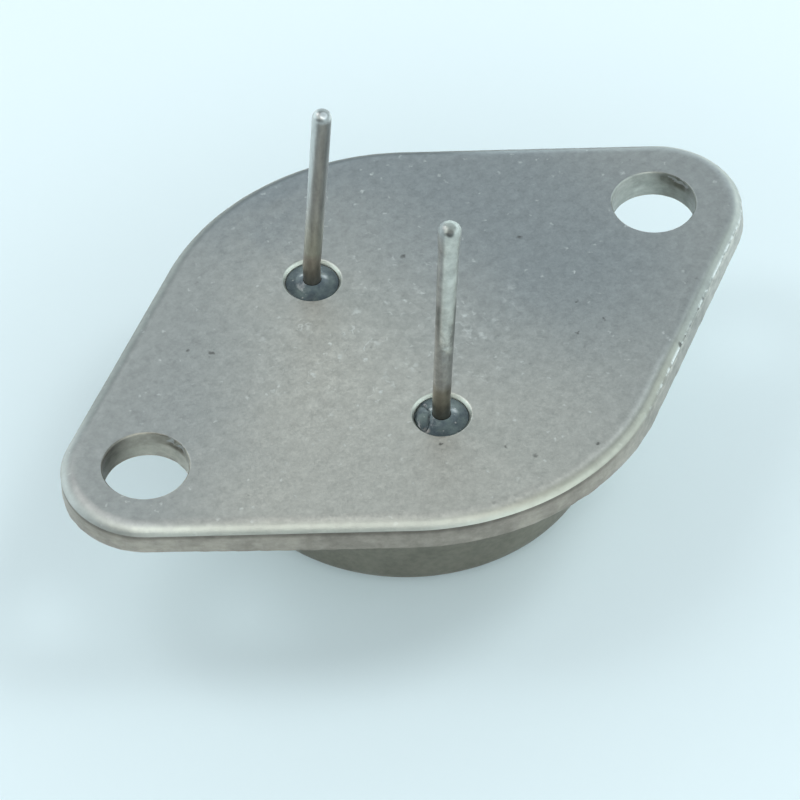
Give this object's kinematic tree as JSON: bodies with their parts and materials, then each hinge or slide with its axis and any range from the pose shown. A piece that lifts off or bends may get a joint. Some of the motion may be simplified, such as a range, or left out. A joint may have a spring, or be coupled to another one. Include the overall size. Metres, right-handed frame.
{
  "type": "power transistor",
  "caption": "Power transistor in a sealed metal case: a rhombic mounting flange with screw holes, a round drawn can on one face and round pins through glass seals on the other.",
  "frame": {"origin": "on the flange's mounting face, midway between the centres of the two mounting holes", "axes": "+Z out of the mounting face along the pins, +X through both mounting holes towards the one that lies farther from the pins; the can hangs below, towards -Z, and the part stands on its closed end"},
  "size_m": [0.0386, 0.0252, 0.0201],
  "materials": {
    "flange_steel": "satin",
    "can_steel": "satin",
    "seal_glass": "gloss",
    "pin_alloy": "satin",
    "tinned_alloy": "satin",
    "braze": "satin",
    "copper": "satin",
    "solder": "satin",
    "silicon": "gloss",
    "bond_aluminium": "satin"
  },
  "bodies": {
    "root": {"header_flange": "flange_steel", "can": "can_steel", "emitter_seal": "seal_glass", "base_seal": "seal_glass", "emitter_pin": "pin_alloy", "base_pin": "tinned_alloy", "spreader_braze": "braze", "heat_spreader": "copper", "die_solder": "solder", "silicon_die": "silicon", "emitter_wire_1": "bond_aluminium", "emitter_wire_2": "bond_aluminium", "base_wire": "bond_aluminium"}
  },
  "joints": []
}
